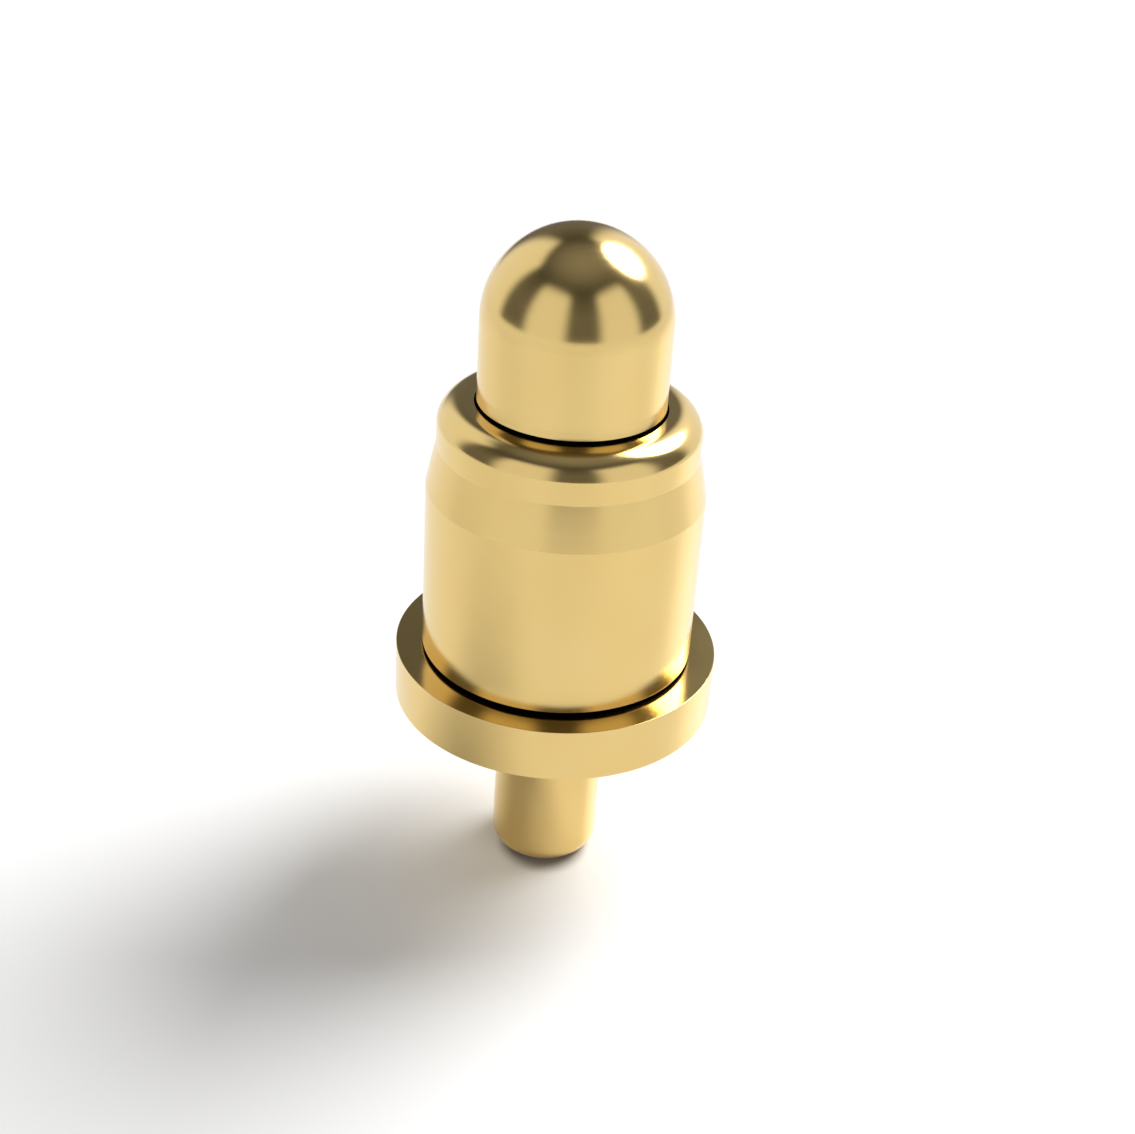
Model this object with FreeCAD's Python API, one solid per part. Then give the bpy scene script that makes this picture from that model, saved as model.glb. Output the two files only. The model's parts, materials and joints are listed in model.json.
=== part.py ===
import FreeCAD, Part

import math
import os

# A spring-loaded contact pin that stands along Z. All sizes are in millimetres.
# z = 0 is the underside of the flange, where it seats on the board. The solder tail goes down from there.

# Flanged tail
flange_diameter = 2.62
flange_thickness = 0.44
flange_edge_chamfer = 0.01
tail_diameter = 0.89
tail_length = 1.565
tail_end_radius = 0.13
spigot_length = 0.30
spigot_chamfer = 0.04
seat_width = 0.05
foot_slot_height = 0.037

# Barrel sleeve
barrel_diameter = 2.20
barrel_wall = 0.21
barrel_straight_length = 1.406
crimp_length = 0.355
crimp_depth = 0.075
neck_length = 0.19
foot_edge_chamfer = 0.01
lip_break_angle = 12.0
lip_land_width = 0.072
mouth_edge_chamfer = 0.006
mouth_land_length = 0.22
stop_half_angle = 45.0

# Plunger, with a shallow groove that shows just above the mouth
plunger_projection = 1.40
collar_overhang = 0.13
collar_length = 0.40
collar_edge_chamfer = 0.04
groove_width = 0.08
groove_depth = 0.04
groove_reveal = 0.024
pocket_wall = 0.17
pocket_point_angle = 118.0
pocket_lead_in = 0.04
crown_thickness = 0.55

# Spring
wire_diameter = 0.14
active_turns = 6.5
closed_turns = 1.0
closed_pitch_factor = 1.04
ground_tip_fraction = 0.25
wire_sides = 12

# Running and seating clearances, each on one side
mouth_clearance = 0.012
collar_clearance = 0.03
stop_clearance = 0.02
spring_clearance = 0.04

quarter = math.pi / 2

# Radii worked out from the sizes above
barrel_radius = barrel_diameter / 2
neck_radius = barrel_radius - crimp_depth
bore_radius = barrel_radius - barrel_wall
shoulder_radius = bore_radius + seat_width
collar_radius = bore_radius - collar_clearance
plunger_radius = collar_radius - collar_overhang
groove_radius = plunger_radius - groove_depth
pocket_radius = plunger_radius - pocket_wall
mouth_radius = plunger_radius + mouth_clearance

# The lip's roll fills the width between the neck and the flat land round the mouth
lip_break = math.radians(lip_break_angle)
lip_centre_radius = mouth_radius + mouth_edge_chamfer + lip_land_width
lip_roll_radius = (neck_radius - lip_centre_radius) / math.cos(lip_break)

# Heights of the tail and the sleeve, from the board up
shoulder_z = flange_thickness + foot_slot_height
spigot_top_z = shoulder_z + spigot_length
crimp_start_z = shoulder_z + barrel_straight_length
crimp_end_z = crimp_start_z + crimp_length
neck_end_z = crimp_end_z + neck_length
mouth_z = neck_end_z + lip_roll_radius * (1 - math.sin(lip_break))
stop_slope = math.tan(math.radians(stop_half_angle))
stop_end_z = mouth_z - mouth_edge_chamfer - mouth_land_length
stop_start_z = stop_end_z - (bore_radius - mouth_radius) / stop_slope

# Heights of the plunger, with its collar just short of the stop cone
collar_top_z = stop_start_z + collar_clearance / stop_slope - stop_clearance
shaft_start_z = collar_top_z + (collar_radius - plunger_radius) / stop_slope
collar_bottom_z = collar_top_z - collar_length
groove_end_z = mouth_z + groove_reveal
groove_start_z = groove_end_z - groove_width
tip_z = mouth_z + plunger_projection
dome_centre_z = tip_z - plunger_radius
pocket_point_z = tip_z - crown_thickness
pocket_shoulder_z = pocket_point_z - pocket_radius / math.tan(math.radians(pocket_point_angle / 2))

# The spring at rest, between the spigot and the pocket's shoulder
coil_radius = pocket_radius - spring_clearance - wire_diameter / 2
closed_pitch = closed_pitch_factor * wire_diameter
end_overrun = ground_tip_fraction * wire_diameter
spring_length = pocket_shoulder_z - spigot_top_z
coil_height = spring_length + 2 * end_overrun
active_pitch = (coil_height - 2 * closed_turns * closed_pitch) / active_turns


def point(radius, height):
    """A point in the half-plane that the outlines are drawn in."""
    return FreeCAD.Vector(radius, 0, height)


class Outline:
    """A closed outline of lines and arcs, drawn from point to point in radius and height."""

    def __init__(self, radius, height):
        self.first = point(radius, height)
        self.last = self.first
        self.edges = []

    def line(self, radius, height):
        end = point(radius, height)
        self.edges.append(Part.LineSegment(self.last, end).toShape())
        self.last = end

    def arc(self, centre_radius, centre_height, arc_radius, start_angle, end_angle):
        """An arc about a centre. Angles are in radians, from straight out towards straight up."""
        centre = point(centre_radius, centre_height)
        middle_angle = (start_angle + end_angle) / 2
        middle = centre + point(arc_radius * math.cos(middle_angle), arc_radius * math.sin(middle_angle))
        end = centre + point(arc_radius * math.cos(end_angle), arc_radius * math.sin(end_angle))
        self.edges.append(Part.Arc(self.last, middle, end).toShape())
        self.last = end

    def turned(self):
        """Closes the outline and turns it about the pin's axis into a solid."""
        self.edges.append(Part.LineSegment(self.last, self.first).toShape())
        face = Part.Face(Part.Wire(self.edges))
        return face.revolve(FreeCAD.Vector(0, 0, 0), FreeCAD.Vector(0, 0, 1), 360)


def make_flanged_tail():
    """Solder tail, flange, slot shoulder and the spigot that fills the sleeve's foot."""
    tail_radius = tail_diameter / 2
    flange_radius = flange_diameter / 2
    flange_face_radius = flange_radius - flange_edge_chamfer
    outline = Outline(0, -tail_length)
    outline.line(tail_radius - tail_end_radius, -tail_length)
    outline.arc(tail_radius - tail_end_radius, tail_end_radius - tail_length, tail_end_radius, -quarter, 0)
    outline.line(tail_radius, 0)
    outline.line(flange_face_radius, 0)
    outline.line(flange_radius, flange_edge_chamfer)
    outline.line(flange_radius, flange_thickness - flange_edge_chamfer)
    outline.line(flange_face_radius, flange_thickness)
    outline.line(shoulder_radius, flange_thickness)
    outline.line(shoulder_radius, shoulder_z)
    outline.line(bore_radius, shoulder_z)
    outline.line(bore_radius, spigot_top_z - spigot_chamfer)
    outline.line(bore_radius - spigot_chamfer, spigot_top_z)
    outline.line(0, spigot_top_z)
    return outline.turned()


def make_barrel_sleeve():
    """Tube with a shallow crimp cone, a short neck and a lip rolled in to the mouth."""
    lip_centre_z = mouth_z - lip_roll_radius
    outline = Outline(bore_radius, shoulder_z)
    outline.line(barrel_radius - foot_edge_chamfer, shoulder_z)
    outline.line(barrel_radius, shoulder_z + foot_edge_chamfer)
    outline.line(barrel_radius, crimp_start_z)
    outline.line(neck_radius, crimp_end_z)
    outline.line(neck_radius, neck_end_z)
    outline.arc(lip_centre_radius, lip_centre_z, lip_roll_radius, lip_break, quarter)
    outline.line(mouth_radius + mouth_edge_chamfer, mouth_z)
    outline.line(mouth_radius, mouth_z - mouth_edge_chamfer)
    outline.line(mouth_radius, stop_end_z)
    outline.line(bore_radius, stop_start_z)
    return outline.turned()


def make_plunger():
    """Dome tip and grooved shaft, with a collar under the stop cone and a drilled pocket for the spring."""
    outline = Outline(pocket_radius, collar_bottom_z + pocket_lead_in)
    outline.line(pocket_radius + pocket_lead_in, collar_bottom_z)
    outline.line(collar_radius - collar_edge_chamfer, collar_bottom_z)
    outline.line(collar_radius, collar_bottom_z + collar_edge_chamfer)
    outline.line(collar_radius, collar_top_z)
    outline.line(plunger_radius, shaft_start_z)
    outline.line(plunger_radius, groove_start_z)
    outline.line(groove_radius, groove_start_z)
    outline.line(groove_radius, groove_end_z)
    outline.line(plunger_radius, groove_end_z)
    outline.line(plunger_radius, dome_centre_z)
    outline.arc(0, dome_centre_z, plunger_radius, 0, quarter)
    outline.line(0, pocket_point_z)
    outline.line(pocket_radius, pocket_shoulder_z)
    return outline.turned()


def helix(pitch, turns, start_turns, start_z):
    """Part of a coil that starts where the turns before it have ended."""
    wire = Part.makeHelix(pitch, pitch * turns, coil_radius)
    wire.rotate(FreeCAD.Vector(0, 0, 0), FreeCAD.Vector(0, 0, 1), 360 * start_turns)
    wire.translate(FreeCAD.Vector(0, 0, start_z))
    return wire.Edges


def wire_section(start_z):
    """The spring wire's section square to the start of the coil. A few flat sides stand for its circle."""
    centre = point(coil_radius, start_z)
    tangent = FreeCAD.Vector(0, coil_radius, closed_pitch / (2 * math.pi)).normalize()
    outward = point(wire_diameter / 2, 0)
    corners = []
    for side in range(wire_sides + 1):
        turn = FreeCAD.Rotation(tangent, 360 * side / wire_sides)
        corners.append(centre + turn.multVec(outward))
    return Part.makePolygon(corners)


def make_spring():
    """Round wire in open turns between closed end turns, with both ends ground flat."""
    bottom_z = spigot_top_z - end_overrun
    closed_height = closed_turns * closed_pitch
    active_height = active_turns * active_pitch
    active_z = bottom_z + closed_height
    edges = helix(closed_pitch, closed_turns, 0, bottom_z)
    edges += helix(active_pitch, active_turns, closed_turns, active_z)
    edges += helix(closed_pitch, closed_turns, closed_turns + active_turns, active_z + active_height)
    path = Part.Wire(edges)
    coil = path.makePipeShell([wire_section(bottom_z)], True, True)
    ends = Part.makeCylinder(bore_radius, spring_length, point(0, spigot_top_z))
    return coil.common(ends).Solids[0]


parts = {
    "flanged_tail": make_flanged_tail(),
    "barrel_sleeve": make_barrel_sleeve(),
    "plunger": make_plunger(),
    "spring": make_spring(),
}

os.makedirs("parts", exist_ok=True)
for name, shape in parts.items():
    shape.exportStep(os.path.join("parts", name + ".step"))
    print(name, shape.ShapeType, "valid", shape.isValid(), "mm3", round(shape.Volume, 4))
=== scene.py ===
import json
import math

import bpy
from mathutils import Matrix, Vector


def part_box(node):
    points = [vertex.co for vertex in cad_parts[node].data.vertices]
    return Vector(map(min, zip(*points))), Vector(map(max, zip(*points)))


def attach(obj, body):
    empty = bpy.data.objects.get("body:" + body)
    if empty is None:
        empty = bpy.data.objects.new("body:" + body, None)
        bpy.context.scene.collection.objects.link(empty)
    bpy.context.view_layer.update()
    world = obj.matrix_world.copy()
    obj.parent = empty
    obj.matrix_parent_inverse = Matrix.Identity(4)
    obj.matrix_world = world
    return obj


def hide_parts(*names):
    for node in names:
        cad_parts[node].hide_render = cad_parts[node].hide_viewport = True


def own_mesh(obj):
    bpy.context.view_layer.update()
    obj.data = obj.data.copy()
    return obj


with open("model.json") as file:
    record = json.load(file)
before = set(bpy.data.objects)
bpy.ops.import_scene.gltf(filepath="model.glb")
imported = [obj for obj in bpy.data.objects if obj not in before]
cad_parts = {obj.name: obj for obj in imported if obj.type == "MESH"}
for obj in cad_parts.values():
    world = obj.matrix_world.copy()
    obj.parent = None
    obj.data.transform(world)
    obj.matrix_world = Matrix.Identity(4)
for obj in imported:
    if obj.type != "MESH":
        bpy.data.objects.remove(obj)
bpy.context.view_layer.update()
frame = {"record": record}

# Metres in a millimetre. Outlines are drawn in millimetres and the meshes are in metres.
MM = 0.001

# Camera, at the photograph's viewing angle
CAMERA_AIM_MM = (0.0547, 0.0, 1.1411)
CAMERA_DISTANCE_MM = 13.9862
CAMERA_ELEVATION = 30.101
CAMERA_ROLL = 3.970
CAMERA_LENS = 55.169
CAMERA_SENSOR = 36.0
CAMERA_NEAREST_MM = 1.0

# Floor, under the end of the solder tail
FLOOR_RADIUS_MM = 60.0
FLOOR_SIDES = 96
FLOOR_WHITE = 0.98
FLOOR_UNEVENNESS = 0.005
FLOOR_ROUGHNESS = 0.35
# Past the pin's shadow the floor fades to plain white
FLOOR_FADE_START_MM = 12.0
FLOOR_FADE_END_MM = 26.0
# Contact shade at the front of the tail's end: its middle, inner radius, outer radius and darkest level
CONTACT_MIDDLE_MM = (0.0, -0.17, 0.0)
CONTACT_INNER_MM = 0.24
CONTACT_OUTER_MM = 0.43
CONTACT_SHADE = 0.28

# Studio round the pin. Azimuth 0 is straight behind it and 90 to its right, in degrees.
# Each upright panel has its middle azimuth, half width, top elevation and brightness.
PANELS = (
    (37.8, 27.7, 53.0, 1.05),
    (126.7, 24.8, 50.0, 0.96),
    (217.0, 25.0, 49.5, 0.96),
    (306.7, 26.7, 54.8, 1.03),
)
# How far a panel's light fades out at its sides and top, as a share of its distance
PANEL_SIDE_FADE = 0.17
PANEL_TOP_FADE = 0.28
# Brightness of the dark walls and ceiling at some elevations
WALL_LEVELS = (
    (0.0, 0.16),
    (22.0, 0.175),
    (40.0, 0.12),
    (51.0, 0.08),
    (59.0, 0.12),
    (67.0, 0.20),
    (80.0, 0.275),
    (90.0, 0.295),
)
KEY_AZIMUTH = 50.3
KEY_ELEVATION = 44.5
KEY_DISTANCE_MM = 200.0
KEY_HALF_ANGLE = 17.9
KEY_BRIGHTNESS = 10.7

# Turned meshes
SIDES = 256
ARC_STEP = math.radians(2.5)
ROUND_STEPS = 6

# Where a gap's dark line meets bright metal, the metal catches light from a little higher up.
# Each has how far up from the gap this goes and how much the shading turns up at the gap.
FOOT_LEAN_HEIGHT_MM = 0.16
FOOT_LEAN = math.radians(8.0)
GROOVE_LEAN_HEIGHT_MM = 0.09
GROOVE_LEAN = math.radians(12.0)

# Gold plate: two linear colours, its roughness, and how much clouds and grain change that
GOLD = (0.738, 0.546, 0.223)
GOLD_WARM = (0.728, 0.530, 0.208)
GOLD_ROUGHNESS = 0.16
GOLD_CLOUDS = 0.01
GOLD_GRAIN = 0.008

# Painted shade for the gaps that light doesn't reach, and the spring's wire, each between two linear
# colours
SEAM_SHADE_BLACK = (0.0015, 0.0012, 0.0009)
SEAM_SHADE_BROWN = (0.003, 0.0024, 0.0018)
WIRE_GREY = (0.58, 0.50, 0.34)
WIRE_GOLD = (0.66, 0.52, 0.25)

PLAIN_WHITE = (1.0, 1.0, 1.0)

quarter = math.pi / 2

# A point on the pin's axis
AXIS = (0.0, 0.0, 0.0)


# Turned pieces

class Outline:
    """Half of a turned piece's section, in millimetres, drawn with the metal on its left."""

    def __init__(self, radius, height):
        self.at = Vector((radius, height))
        self.stretches = []

    def line(self, radius, height, rounding=0.0, finish=0, lean=0.0):
        """A straight stretch. Its far corner is rounded off where the next stretch is straight too.

        Lean turns the shading up at the near end, in radians. The form stays straight.
        """
        end = Vector((radius, height))
        stretch = {"start": self.at, "end": end, "rounding": rounding, "finish": finish, "lean": lean}
        self.stretches.append(stretch)
        self.at = end

    def arc(self, centre_radius, centre_height, arc_radius, start_angle, end_angle, finish=0):
        """A round stretch about a centre. Angles are in radians, from straight out to straight up."""
        centre = Vector((centre_radius, centre_height))
        angles = (start_angle, end_angle)
        stretch = {"centre": centre, "radius": arc_radius, "angles": angles, "finish": finish}
        self.stretches.append(stretch)
        self.at = centre + arc_radius * Vector((math.cos(end_angle), math.sin(end_angle)))

    def round_corners(self):
        """Puts a small arc in each corner that has a rounding."""
        rounded = []
        for index, stretch in enumerate(self.stretches):
            rounded.append(stretch)
            if not stretch.get("rounding"):
                continue
            following = self.stretches[index + 1]
            before = (stretch["end"] - stretch["start"]).normalized()
            after = (following["end"] - following["start"]).normalized()
            turn = math.atan2(before.x * after.y - before.y * after.x, before.dot(after))
            radius = stretch["rounding"]
            cut = radius * math.tan(abs(turn) / 2)
            side = math.copysign(1, turn)
            corner = stretch["end"]
            stretch["end"] = corner - before * cut
            following["start"] = corner + after * cut
            centre = stretch["end"] + side * radius * Vector((-before.y, before.x))
            start_angle = math.atan2(-side * before.x, side * before.y)
            angles = (start_angle, start_angle + turn)
            rounded.append({"centre": centre, "radius": radius, "angles": angles,
                            "finish": stretch["finish"], "steps": ROUND_STEPS})
        return rounded

    def rows(self):
        """The outline as short steps: the two ends of each, the normals there and its finish."""
        rows = []
        for stretch in self.round_corners():
            if "centre" in stretch:
                first, last = stretch["angles"]
                steps = stretch.get("steps") or max(2, math.ceil(abs(last - first) / ARC_STEP))
                angles = [first + (last - first) * step / steps for step in range(steps + 1)]
                directions = [Vector((math.cos(angle), math.sin(angle))) for angle in angles]
                points = [stretch["centre"] + stretch["radius"] * direction for direction in directions]
                facing = math.copysign(1, last - first)
                normals = [facing * direction for direction in directions]
            else:
                along = (stretch["end"] - stretch["start"]).normalized()
                points = [stretch["start"], stretch["end"]]
                square = Vector((along.y, -along.x))
                leaning = Matrix.Rotation(stretch["lean"], 2) @ square
                normals = [leaning, square]
            finish = stretch["finish"]
            for step in range(len(points) - 1):
                rows.append((points[step], points[step + 1], normals[step], normals[step + 1], finish))
        return rows


def turned_piece(name, outline, materials):
    """Turns an outline about the pin's axis into a smooth mesh that keeps the outline's own normals."""
    # A point nearer to the axis than this is on it
    axis_limit = 1e-6
    vertices = []
    faces = []
    normals = []
    finishes = []
    turns = [2 * math.pi * side / SIDES for side in range(SIDES)]
    directions = [Vector((math.cos(turn), math.sin(turn))) for turn in turns]

    def ring(point):
        start = len(vertices)
        if abs(point.x) < axis_limit:
            vertices.append((0.0, 0.0, point.y * MM))
            return [start] * SIDES
        for direction in directions:
            vertices.append((point.x * direction.x * MM, point.x * direction.y * MM, point.y * MM))
        return list(range(start, start + SIDES))

    def turned_normal(normal, side):
        direction = directions[side]
        return (normal.x * direction.x, normal.x * direction.y, normal.y)

    rows = outline.rows()
    upper = ring(rows[0][0])
    for start, end, start_normal, end_normal, finish in rows:
        lower = upper
        upper = ring(end)
        if lower[0] == lower[1] and upper[0] == upper[1]:
            # This stretch lies on the axis and makes no surface.
            continue
        for side in range(SIDES):
            following = (side + 1) % SIDES
            face = [(lower[side], start_normal, side), (lower[following], start_normal, following),
                    (upper[following], end_normal, following), (upper[side], end_normal, side)]
            if lower[side] == lower[following]:
                face.pop(1)
            elif upper[side] == upper[following]:
                face.pop(2)
            faces.append([corner[0] for corner in face])
            normals.extend(turned_normal(normal, at) for _, normal, at in face)
            finishes.append(finish)

    mesh = bpy.data.meshes.new(name)
    mesh.from_pydata(vertices, [], faces)
    mesh.polygons.foreach_set("use_smooth", [True] * len(faces))
    for material in materials:
        mesh.materials.append(material)
    mesh.polygons.foreach_set("material_index", finishes)
    mesh.update()
    mesh.normals_split_custom_set(normals)
    piece = bpy.data.objects.new(name, mesh)
    bpy.context.scene.collection.objects.link(piece)
    return piece


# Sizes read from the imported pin, in millimetres

def box_mm(node):
    low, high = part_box(node)
    return low / MM, high / MM


tail_low, tail_high = box_mm("flanged_tail")
sleeve_low, sleeve_high = box_mm("barrel_sleeve")
plunger_low, plunger_high = box_mm("plunger")
spring_low, spring_high = box_mm("spring")
mounts = {mount["name"]: mount for mount in frame["record"]["mounts"]}

flange_radius = tail_high.x
tail_end_z = tail_low.z
tail_radius = mounts["solder_tail"]["dims"]["r_mm"]
spigot_top_z = tail_high.z
barrel_radius = sleeve_high.x
foot_z = sleeve_low.z
mouth_z = sleeve_high.z
collar_radius = plunger_high.x
collar_bottom_z = plunger_low.z
tip_z = plunger_high.z

# Sizes that the boxes don't give
FLANGE_THICKNESS = 0.44
FLANGE_ROUNDING = 0.004
TAIL_END_RADIUS = 0.13
SEAT_WIDTH = 0.05
SPIGOT_CHAMFER = 0.04
BARREL_WALL = 0.21
BARREL_STRAIGHT_LENGTH = 1.406
CRIMP_LENGTH = 0.355
CRIMP_DEPTH = 0.075
NECK_LENGTH = 0.19
LIP_BREAK = math.radians(12.0)
LIP_LAND_WIDTH = 0.072
MOUTH_ROUNDING = 0.006
MOUTH_CLEARANCE = 0.012
MOUTH_LAND_LENGTH = 0.22
FOOT_ROUNDING = 0.004
COLLAR_OVERHANG = 0.13
COLLAR_LENGTH = 0.40
COLLAR_ROUNDING = 0.04
GROOVE_WIDTH = 0.08
GROOVE_DEPTH = 0.04
GROOVE_REVEAL = 0.024
POCKET_WALL = 0.17
POCKET_POINT_HALF_ANGLE = math.radians(59.0)
POCKET_LEAD_IN = 0.04
CROWN_THICKNESS = 0.55
WIRE_DIAMETER = 0.14
SPRING_CLEARANCE = 0.04
SPRING_END_TURNS = 1.0
SPRING_OPEN_TURNS = 6.5
SPRING_END_PITCH = 1.04 * WIRE_DIAMETER
SPRING_GROUND_DEPTH = 0.25 * WIRE_DIAMETER

bore_radius = barrel_radius - BARREL_WALL
plunger_radius = collar_radius - COLLAR_OVERHANG
pocket_radius = plunger_radius - POCKET_WALL
mouth_radius = plunger_radius + MOUTH_CLEARANCE


def flanged_tail_outline():
    """Solder tail, flange and spigot, with painted shade in the slot where the sleeve's foot stands."""
    seat_radius = bore_radius + SEAT_WIDTH
    tail_face_radius = tail_radius - TAIL_END_RADIUS
    outline = Outline(0, tail_end_z)
    outline.line(tail_face_radius, tail_end_z)
    outline.arc(tail_face_radius, tail_end_z + TAIL_END_RADIUS, TAIL_END_RADIUS, -quarter, 0)
    outline.line(tail_radius, 0, rounding=FLANGE_ROUNDING)
    outline.line(flange_radius, 0, rounding=FLANGE_ROUNDING)
    outline.line(flange_radius, FLANGE_THICKNESS, rounding=FLANGE_ROUNDING)
    outline.line(barrel_radius, FLANGE_THICKNESS)
    # The slot's walls take the painted shade.
    outline.line(seat_radius, FLANGE_THICKNESS, finish=1)
    outline.line(seat_radius, foot_z, finish=1)
    outline.line(bore_radius, foot_z, finish=1)
    outline.line(bore_radius, spigot_top_z - SPIGOT_CHAMFER)
    outline.line(bore_radius - SPIGOT_CHAMFER, spigot_top_z)
    outline.line(0, spigot_top_z)
    return outline


def barrel_sleeve_outline():
    """Straight barrel, shallow crimp cone, short neck and the lip rolled in to the mouth."""
    crimp_start_z = foot_z + BARREL_STRAIGHT_LENGTH
    crimp_end_z = crimp_start_z + CRIMP_LENGTH
    neck_radius = barrel_radius - CRIMP_DEPTH
    lip_centre_radius = mouth_radius + MOUTH_ROUNDING + LIP_LAND_WIDTH
    lip_roll_radius = (neck_radius - lip_centre_radius) / math.cos(LIP_BREAK)
    stop_end_z = mouth_z - MOUTH_ROUNDING - MOUTH_LAND_LENGTH
    stop_start_z = stop_end_z - (bore_radius - mouth_radius)
    outline = Outline(bore_radius, foot_z)
    outline.line(barrel_radius, foot_z, rounding=FOOT_ROUNDING)
    outline.line(barrel_radius, foot_z + FOOT_LEAN_HEIGHT_MM, lean=FOOT_LEAN)
    outline.line(barrel_radius, crimp_start_z)
    outline.line(neck_radius, crimp_end_z)
    outline.line(neck_radius, crimp_end_z + NECK_LENGTH)
    outline.arc(lip_centre_radius, mouth_z - lip_roll_radius, lip_roll_radius, LIP_BREAK, quarter)
    outline.line(mouth_radius, mouth_z, rounding=MOUTH_ROUNDING)
    # The bore inside the mouth and the stop cone take the painted shade.
    outline.line(mouth_radius, stop_end_z, finish=1)
    outline.line(bore_radius, stop_start_z, finish=1)
    outline.line(bore_radius, foot_z, finish=1)
    return outline


def plunger_outline():
    """Dome tip and shaft, with painted shade in the groove at the mouth, the collar and the spring's
    pocket.
    """
    collar_top_z = collar_bottom_z + COLLAR_LENGTH
    groove_radius = plunger_radius - GROOVE_DEPTH
    groove_end_z = mouth_z + GROOVE_REVEAL
    groove_start_z = groove_end_z - GROOVE_WIDTH
    pocket_point_z = tip_z - CROWN_THICKNESS
    pocket_shoulder_z = pocket_point_z - pocket_radius / math.tan(POCKET_POINT_HALF_ANGLE)
    outline = Outline(pocket_radius, collar_bottom_z + POCKET_LEAD_IN)
    outline.line(pocket_radius + POCKET_LEAD_IN, collar_bottom_z)
    outline.line(collar_radius, collar_bottom_z, rounding=COLLAR_ROUNDING)
    outline.line(collar_radius, collar_top_z)
    outline.line(plunger_radius, collar_top_z + COLLAR_OVERHANG)
    outline.line(plunger_radius, groove_start_z)
    # The groove takes the painted shade.
    outline.line(groove_radius, groove_start_z, finish=1)
    outline.line(groove_radius, groove_end_z, finish=1)
    outline.line(plunger_radius, groove_end_z, finish=1)
    outline.line(plunger_radius, groove_end_z + GROOVE_LEAN_HEIGHT_MM, lean=GROOVE_LEAN)
    outline.line(plunger_radius, tip_z - plunger_radius)
    outline.arc(0, tip_z - plunger_radius, plunger_radius, 0, quarter)
    outline.line(0, pocket_point_z)
    outline.line(pocket_radius, pocket_shoulder_z)
    outline.line(pocket_radius, collar_bottom_z + POCKET_LEAD_IN)
    return outline


def spring_piece(name, material):
    """Round wire in open turns between closed end turns, ground flat at both ends."""
    rings_per_turn = 48
    wire_sides = 20
    wire_radius = WIRE_DIAMETER / 2
    coil_radius = pocket_radius - SPRING_CLEARANCE - wire_radius
    first_z = spring_low.z - SPRING_GROUND_DEPTH
    last_z = spring_high.z + SPRING_GROUND_DEPTH
    end_rise = SPRING_END_TURNS * SPRING_END_PITCH
    open_pitch = (last_z - first_z - 2 * end_rise) / SPRING_OPEN_TURNS
    turns = 2 * SPRING_END_TURNS + SPRING_OPEN_TURNS

    def height(turn):
        if turn < SPRING_END_TURNS:
            return first_z + turn * SPRING_END_PITCH
        if turn > turns - SPRING_END_TURNS:
            return last_z - (turns - turn) * SPRING_END_PITCH
        return first_z + end_rise + (turn - SPRING_END_TURNS) * open_pitch

    vertices = []
    faces = []
    rings = int(turns * rings_per_turn)
    for step in range(rings + 1):
        turn = turns * step / rings
        angle = 2 * math.pi * turn
        outward = Vector((math.cos(angle), math.sin(angle), 0))
        for side in range(wire_sides):
            around = 2 * math.pi * side / wire_sides
            point = outward * (coil_radius + wire_radius * math.cos(around))
            z = height(turn) + wire_radius * math.sin(around)
            vertices.append((point.x * MM, point.y * MM, min(max(z, spring_low.z), spring_high.z) * MM))
    for step in range(rings):
        for side in range(wire_sides):
            following = (side + 1) % wire_sides
            row = step * wire_sides
            next_row = row + wire_sides
            faces.append((row + side, row + following, next_row + following, next_row + side))
    faces.append(tuple(range(wire_sides)))
    faces.append(tuple(rings * wire_sides + side for side in reversed(range(wire_sides))))
    mesh = bpy.data.meshes.new(name)
    mesh.from_pydata(vertices, [], faces)
    mesh.polygons.foreach_set("use_smooth", [True] * len(faces))
    mesh.materials.append(material)
    mesh.update()
    piece = bpy.data.objects.new(name, mesh)
    bpy.context.scene.collection.objects.link(piece)
    return piece


# Materials

class Tree:
    """Short calls for a node tree."""

    def __init__(self, tree):
        self.nodes = tree.nodes
        self.links = tree.links
        self.nodes.clear()

    def add(self, kind, inputs=(), **settings):
        """A node with its settings and inputs. An input takes a value or another node's output."""
        node = self.nodes.new(kind)
        for key, value in settings.items():
            setattr(node, key, value)
        for socket, value in dict(inputs).items():
            if isinstance(value, bpy.types.NodeSocket):
                self.links.new(value, node.inputs[socket])
            else:
                node.inputs[socket].default_value = value
        return node

    def math(self, operation, first, second=0.0):
        return self.add("ShaderNodeMath", {0: first, 1: second}, operation=operation).outputs[0]

    def dot(self, first, second):
        node = self.add("ShaderNodeVectorMath", {0: first, 1: second}, operation="DOT_PRODUCT")
        return node.outputs["Value"]

    def ramp(self, value, low, high, to_low=0.0, to_high=1.0, kind="LINEAR"):
        """Carries a value from one range over to another and stops it at both ends."""
        inputs = {"Value": value, "From Min": low, "From Max": high, "To Min": to_low, "To Max": to_high}
        node = self.add("ShaderNodeMapRange", inputs, interpolation_type=kind)
        return node.outputs["Result"]

    def mix(self, factor, first, second):
        node = self.add("ShaderNodeMix", {0: factor}, data_type="RGBA")
        for socket, value in ((node.inputs[6], first), (node.inputs[7], second)):
            if isinstance(value, bpy.types.NodeSocket):
                self.links.new(value, socket)
            else:
                socket.default_value = value
        return node.outputs[2]

    def noise(self, place_mm, scale, detail=2.0):
        inputs = {"Vector": place_mm, "Scale": scale, "Detail": detail}
        return self.add("ShaderNodeTexNoise", inputs).outputs[0]

    def bumpy_metal(self, colour, roughness, height, strength, depth_mm):
        """A metal whose surface follows a height a little."""
        inputs = {"Height": height, "Strength": strength, "Distance": depth_mm * MM}
        bump = self.add("ShaderNodeBump", inputs).outputs[0]
        inputs = {"Base Color": colour, "Metallic": 1.0, "Roughness": roughness, "Normal": bump}
        return self.add("ShaderNodeBsdfPrincipled", inputs)

    def show(self, shader, output="ShaderNodeOutputMaterial"):
        """Puts a shader on the tree's output."""
        self.add(output, {"Surface": shader.outputs[0]})


def rgba(colour):
    return (*colour, 1.0)


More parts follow.
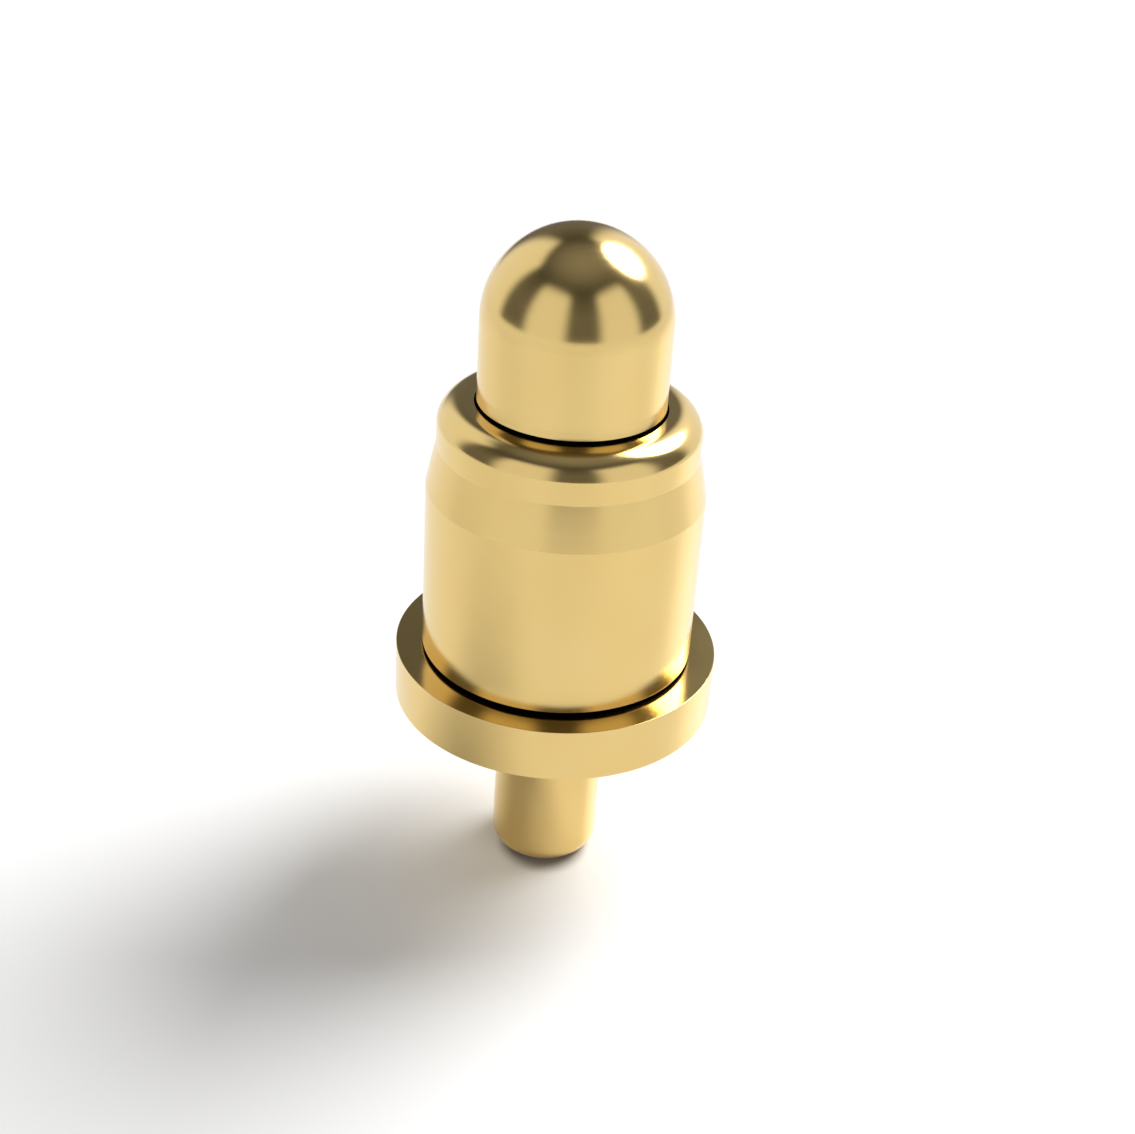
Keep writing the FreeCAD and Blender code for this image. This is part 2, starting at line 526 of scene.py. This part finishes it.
def new_material(name):
    """A material and its empty node tree."""
    material = bpy.data.materials.new(name)
    material.use_nodes = True
    return material, Tree(material.node_tree)


def object_place_mm(tree):
    """Coordinates on the piece, in millimetres."""
    place = tree.add("ShaderNodeTexCoord").outputs["Object"]
    inputs = {0: place, "Scale": 1 / MM}
    return tree.add("ShaderNodeVectorMath", inputs, operation="SCALE").outputs[0]


def level_distance(tree, place_mm, middle):
    """How far a place lies from a middle, seen from above."""
    offset = tree.add("ShaderNodeVectorMath", {0: place_mm, 1: middle}, operation="SUBTRACT").outputs[0]
    parts = tree.add("ShaderNodeSeparateXYZ", {0: offset})
    level = tree.add("ShaderNodeCombineXYZ", {0: parts.outputs["X"], 1: parts.outputs["Y"]}).outputs[0]
    return tree.add("ShaderNodeVectorMath", {0: level}, operation="LENGTH").outputs["Value"]


def turned_grain(tree):
    """Millimetre coordinates and a fine grain that runs round the pin's axis."""
    place_mm = object_place_mm(tree)
    height = tree.add("ShaderNodeSeparateXYZ", {0: place_mm}).outputs["Z"]
    radius = level_distance(tree, place_mm, AXIS)
    section = tree.add("ShaderNodeCombineXYZ", {0: radius, 1: height}).outputs[0]
    inputs = {"Vector": section, "Scale": 28.0, "Detail": 2.0, "Roughness": 0.5}
    grain = tree.add("ShaderNodeTexNoise", inputs, noise_dimensions="2D").outputs[0]
    return place_mm, grain


def gold_plate(name):
    """Bright gold plate on a turned part, with a faint grain and slow changes of tone and gloss."""
    material, tree = new_material(name)
    place_mm, grain = turned_grain(tree)
    clouds = tree.noise(place_mm, 1.6, 3.0)
    colour = tree.mix(tree.ramp(clouds, 0.35, 0.65), rgba(GOLD_WARM), rgba(GOLD))
    clouded = tree.ramp(clouds, 0.3, 0.7, GOLD_ROUGHNESS - GOLD_CLOUDS, GOLD_ROUGHNESS + GOLD_CLOUDS)
    roughness = tree.math("ADD", clouded, tree.ramp(grain, 0.3, 0.7, -GOLD_GRAIN, GOLD_GRAIN))
    tree.show(tree.bumpy_metal(colour, roughness, grain, strength=0.15, depth_mm=0.00002))
    return material


def seam_shade(name):
    """Painted shade for the narrow gaps that light doesn't reach: a dull, nearly black colour with a
    little unevenness.
    """
    material, tree = new_material(name)
    place_mm, grain = turned_grain(tree)
    colour = tree.mix(grain, rgba(SEAM_SHADE_BLACK), rgba(SEAM_SHADE_BROWN))
    roughness = tree.ramp(tree.noise(place_mm, 6.0), 0.3, 0.7, 0.75, 0.9)
    inputs = {"Base Color": colour, "Metallic": 0.0, "Specular IOR Level": 0.0, "Roughness": roughness}
    tree.show(tree.add("ShaderNodeBsdfPrincipled", inputs))
    return material


def spring_wire(name):
    """Drawn wire with a thin gold plate that lets some of the steel's grey through."""
    material, tree = new_material(name)
    place_mm, grain = turned_grain(tree)
    streaks = tree.noise(place_mm, 9.0, 4.0)
    colour = tree.mix(tree.ramp(streaks, 0.35, 0.65), rgba(WIRE_GREY), rgba(WIRE_GOLD))
    roughness = tree.ramp(streaks, 0.3, 0.7, 0.22, 0.34)
    tree.show(tree.bumpy_metal(colour, roughness, grain, strength=0.2, depth_mm=0.00005))
    return material


def floor_white(name):
    """Matt white board, a little uneven, with a contact shade that only the camera sees.

    Far from the pin it fades to plain white for the camera and in reflections.
    """
    material, tree = new_material(name)
    material.cycles.emission_sampling = "NONE"
    place_mm = object_place_mm(tree)
    path = tree.add("ShaderNodeLightPath")
    seen = path.outputs["Is Camera Ray"]
    mirrored = tree.math("MAXIMUM", path.outputs["Is Glossy Ray"], path.outputs["Is Transmission Ray"])
    white = rgba((FLOOR_WHITE,) * 3)
    greyer = rgba((FLOOR_WHITE * (1 - FLOOR_UNEVENNESS),) * 3)
    board = tree.mix(tree.noise(place_mm, 0.03), white, greyer)
    contact_distance = level_distance(tree, place_mm, CONTACT_MIDDLE_MM)
    contact = tree.ramp(contact_distance, CONTACT_INNER_MM, CONTACT_OUTER_MM, 1.0, 0.0, "SMOOTHSTEP")
    shade = rgba((FLOOR_WHITE * CONTACT_SHADE,) * 3)
    colour = tree.mix(tree.math("MULTIPLY", contact, seen), board, shade)
    near_pin = tree.add("ShaderNodeBsdfPrincipled", {"Base Color": colour, "Roughness": FLOOR_ROUGHNESS})
    plain = tree.add("ShaderNodeEmission", {"Color": rgba(PLAIN_WHITE), "Strength": 1.0})
    pin_distance = level_distance(tree, place_mm, AXIS)
    far = tree.ramp(pin_distance, FLOOR_FADE_START_MM, FLOOR_FADE_END_MM, kind="SMOOTHSTEP")
    faded = tree.math("MULTIPLY", far, tree.math("MAXIMUM", seen, mirrored))
    tree.show(tree.add("ShaderNodeMixShader", {0: faded, 1: near_pin.outputs[0], 2: plain.outputs[0]}))
    return material


# Studio

def make_floor():
    """A round white floor that the end of the solder tail stands on."""
    ring = [2 * math.pi * side / FLOOR_SIDES for side in range(FLOOR_SIDES)]
    radius = FLOOR_RADIUS_MM * MM
    corners = [(radius * math.cos(turn), radius * math.sin(turn), tail_end_z * MM) for turn in ring]
    mesh = bpy.data.meshes.new("floor")
    mesh.from_pydata(corners, [], [tuple(range(FLOOR_SIDES))])
    mesh.materials.append(floor_white("floor_white"))
    floor = bpy.data.objects.new("floor", mesh)
    bpy.context.scene.collection.objects.link(floor)


def towards(azimuth, elevation=0.0):
    """The direction of an azimuth and elevation in degrees. Azimuth 0 is straight behind the pin."""
    turn = math.radians(azimuth)
    rise = math.radians(elevation)
    return Vector((math.sin(turn) * math.cos(rise), math.cos(turn) * math.cos(rise), math.sin(rise)))


def panel_mask(tree, direction, azimuth, half_width, top):
    """1 inside an upright flat panel that stands on the floor, and 0 round it."""
    ahead = tree.dot(direction, towards(azimuth))
    aside = tree.dot(direction, towards(azimuth + 90))
    up = tree.add("ShaderNodeSeparateXYZ", {0: direction}).outputs["Z"]
    # What lies behind the panel's plane counts as far aside
    depth = tree.math("MAXIMUM", ahead, 0.001)
    across = tree.math("ABSOLUTE", tree.math("DIVIDE", aside, depth))
    height = tree.math("DIVIDE", up, depth)
    half = math.tan(math.radians(half_width))
    crest = math.tan(math.radians(top))
    inside = tree.ramp(across, half - PANEL_SIDE_FADE, half + PANEL_SIDE_FADE, 1.0, 0.0, "SMOOTHSTEP")
    below = tree.ramp(height, crest - PANEL_TOP_FADE, crest + PANEL_TOP_FADE, 1.0, 0.0, "SMOOTHSTEP")
    return tree.math("MULTIPLY", inside, below)


def make_world():
    """Dark walls and ceiling with four white panels. The camera sees plain white past the floor."""
    world = bpy.data.worlds.new("studio")
    world.use_nodes = True
    tree = Tree(world.node_tree)
    direction = tree.add("ShaderNodeTexCoord").outputs["Generated"]
    up = tree.add("ShaderNodeSeparateXYZ", {0: direction}).outputs["Z"]
    ramp = tree.add("ShaderNodeValToRGB", {0: tree.math("DIVIDE", tree.math("ARCSINE", up), quarter)})
    elements = ramp.color_ramp.elements
    elements.remove(elements[1])
    for index, (elevation, level) in enumerate(WALL_LEVELS):
        position = elevation / 90.0
        element = elements[0] if index == 0 else elements.new(position)
        element.position = position
        element.color = rgba((level,) * 3)
    brightness = ramp.outputs[0]
    for azimuth, half_width, top, level in PANELS:
        mask = panel_mask(tree, direction, azimuth, half_width, top)
        brightness = tree.mix(mask, brightness, rgba((level,) * 3))
    seen = tree.add("ShaderNodeLightPath").outputs["Is Camera Ray"]
    shown = tree.mix(seen, brightness, rgba(PLAIN_WHITE))
    background = tree.add("ShaderNodeBackground", {"Color": shown, "Strength": 1.0})
    tree.show(background, "ShaderNodeOutputWorld")
    bpy.context.scene.world = world


def make_key():
    """A round softbox behind the pin's right shoulder."""
    away = towards(KEY_AZIMUTH, KEY_ELEVATION)
    radius = KEY_DISTANCE_MM * MM * math.tan(math.radians(KEY_HALF_ANGLE))
    light = bpy.data.lights.new("key", "AREA")
    light.shape = "DISK"
    light.size = 2 * radius
    light.energy = KEY_BRIGHTNESS * math.pi * math.pi * radius * radius
    key = bpy.data.objects.new("key", light)
    key.location = away * KEY_DISTANCE_MM * MM
    key.rotation_euler = away.to_track_quat("Z", "Y").to_euler()
    key.visible_camera = False
    bpy.context.scene.collection.objects.link(key)


def make_camera():
    """The camera, level with the photograph's and rolled a little as it was."""
    rise = math.radians(CAMERA_ELEVATION)
    aim = Vector(CAMERA_AIM_MM) * MM
    away = Vector((0, -math.cos(rise), math.sin(rise)))
    data = bpy.data.cameras.new("camera")
    data.sensor_fit = "HORIZONTAL"
    data.sensor_width = CAMERA_SENSOR
    data.lens = CAMERA_LENS
    data.clip_start = CAMERA_NEAREST_MM * MM
    camera = bpy.data.objects.new("camera", data)
    look = away.to_track_quat("Z", "Y").to_matrix().to_4x4()
    roll = Matrix.Rotation(math.radians(CAMERA_ROLL), 4, "Z")
    camera.matrix_world = Matrix.Translation(aim + away * CAMERA_DISTANCE_MM * MM) @ look @ roll
    bpy.context.scene.collection.objects.link(camera)
    bpy.context.scene.camera = camera


# The pin

def place(piece, body, node, slot):
    """Puts a piece on its body in place of its node."""
    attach(piece, body)
    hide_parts(node)


# Painted shade for the gaps: the second material of each turned piece.
shade = seam_shade("seam_shade")
tail_finishes = [gold_plate("tail_plating"), shade]
sleeve_finishes = [gold_plate("barrel_plating"), shade]
plunger_finishes = [gold_plate("plunger_plating"), shade]
tail = turned_piece("flanged_tail_turned", flanged_tail_outline(), tail_finishes)
sleeve = turned_piece("barrel_sleeve_turned", barrel_sleeve_outline(), sleeve_finishes)
plunger = turned_piece("plunger_turned", plunger_outline(), plunger_finishes)
coil = spring_piece("spring_coil", spring_wire("spring_wire"))
place(tail, "housing", "flanged_tail", "tail_plating")
place(sleeve, "housing", "barrel_sleeve", "barrel_plating")
place(plunger, "plunger", "plunger", "plunger_plating")
place(coil, "housing", "spring", "spring_wire")

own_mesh(coil)

make_floor()
make_world()
make_key()
make_camera()

view = bpy.context.scene.view_settings
view.view_transform = "Standard"
